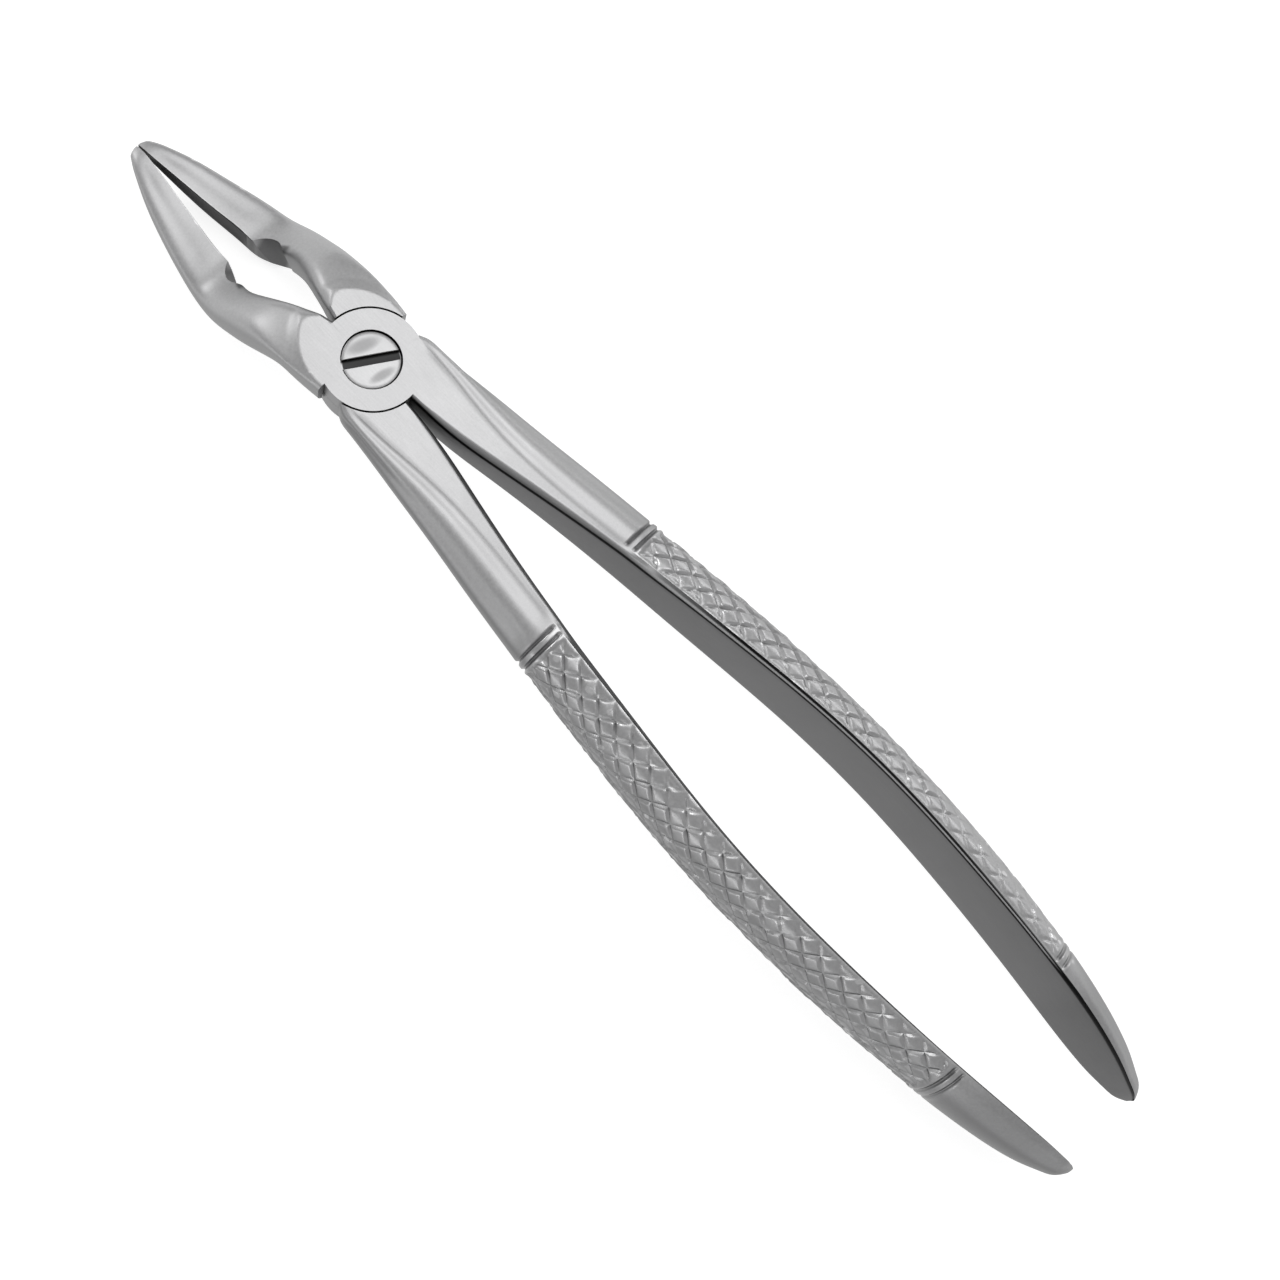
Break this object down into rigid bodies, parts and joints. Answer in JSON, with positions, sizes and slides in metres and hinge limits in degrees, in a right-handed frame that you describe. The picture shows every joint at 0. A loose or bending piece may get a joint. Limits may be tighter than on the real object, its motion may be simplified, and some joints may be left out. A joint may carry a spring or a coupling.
{
  "type": "dental extraction forceps",
  "caption": "Dental extraction forceps for upper roots: two crossed steel halves on a slotted screw, slim bayonet beaks, diamond-cut handles.",
  "frame": {"origin": "on the pivot axis, at the flat underside of the lap joint", "axes": "+Z along the pivot, from the flat underside to the screw's slotted head; +Y from the joint to the beak tips, -Y to the handle ends; +X to the side of the upper half's handle"},
  "size_m": [0.0318, 0.18, 0.0193],
  "materials": {
    "satin_steel": "satin stainless steel, finely ground on the flat joint faces and matt on the beaks and handles",
    "screw_steel": "satin stainless steel with a brushed head"
  },
  "bodies": {
    "lower_half": {"lower_half": "satin_steel", "joint_screw": "screw_steel"},
    "upper_half": {"upper_half": "satin_steel"}
  },
  "joints": [
    {"name": "pivot", "type": "hinge", "parent": "lower_half", "child": "upper_half", "pos_m": [0, 0, 0.0035], "axis": [0, 0, 1], "range_deg": [0, 24]}
  ]
}
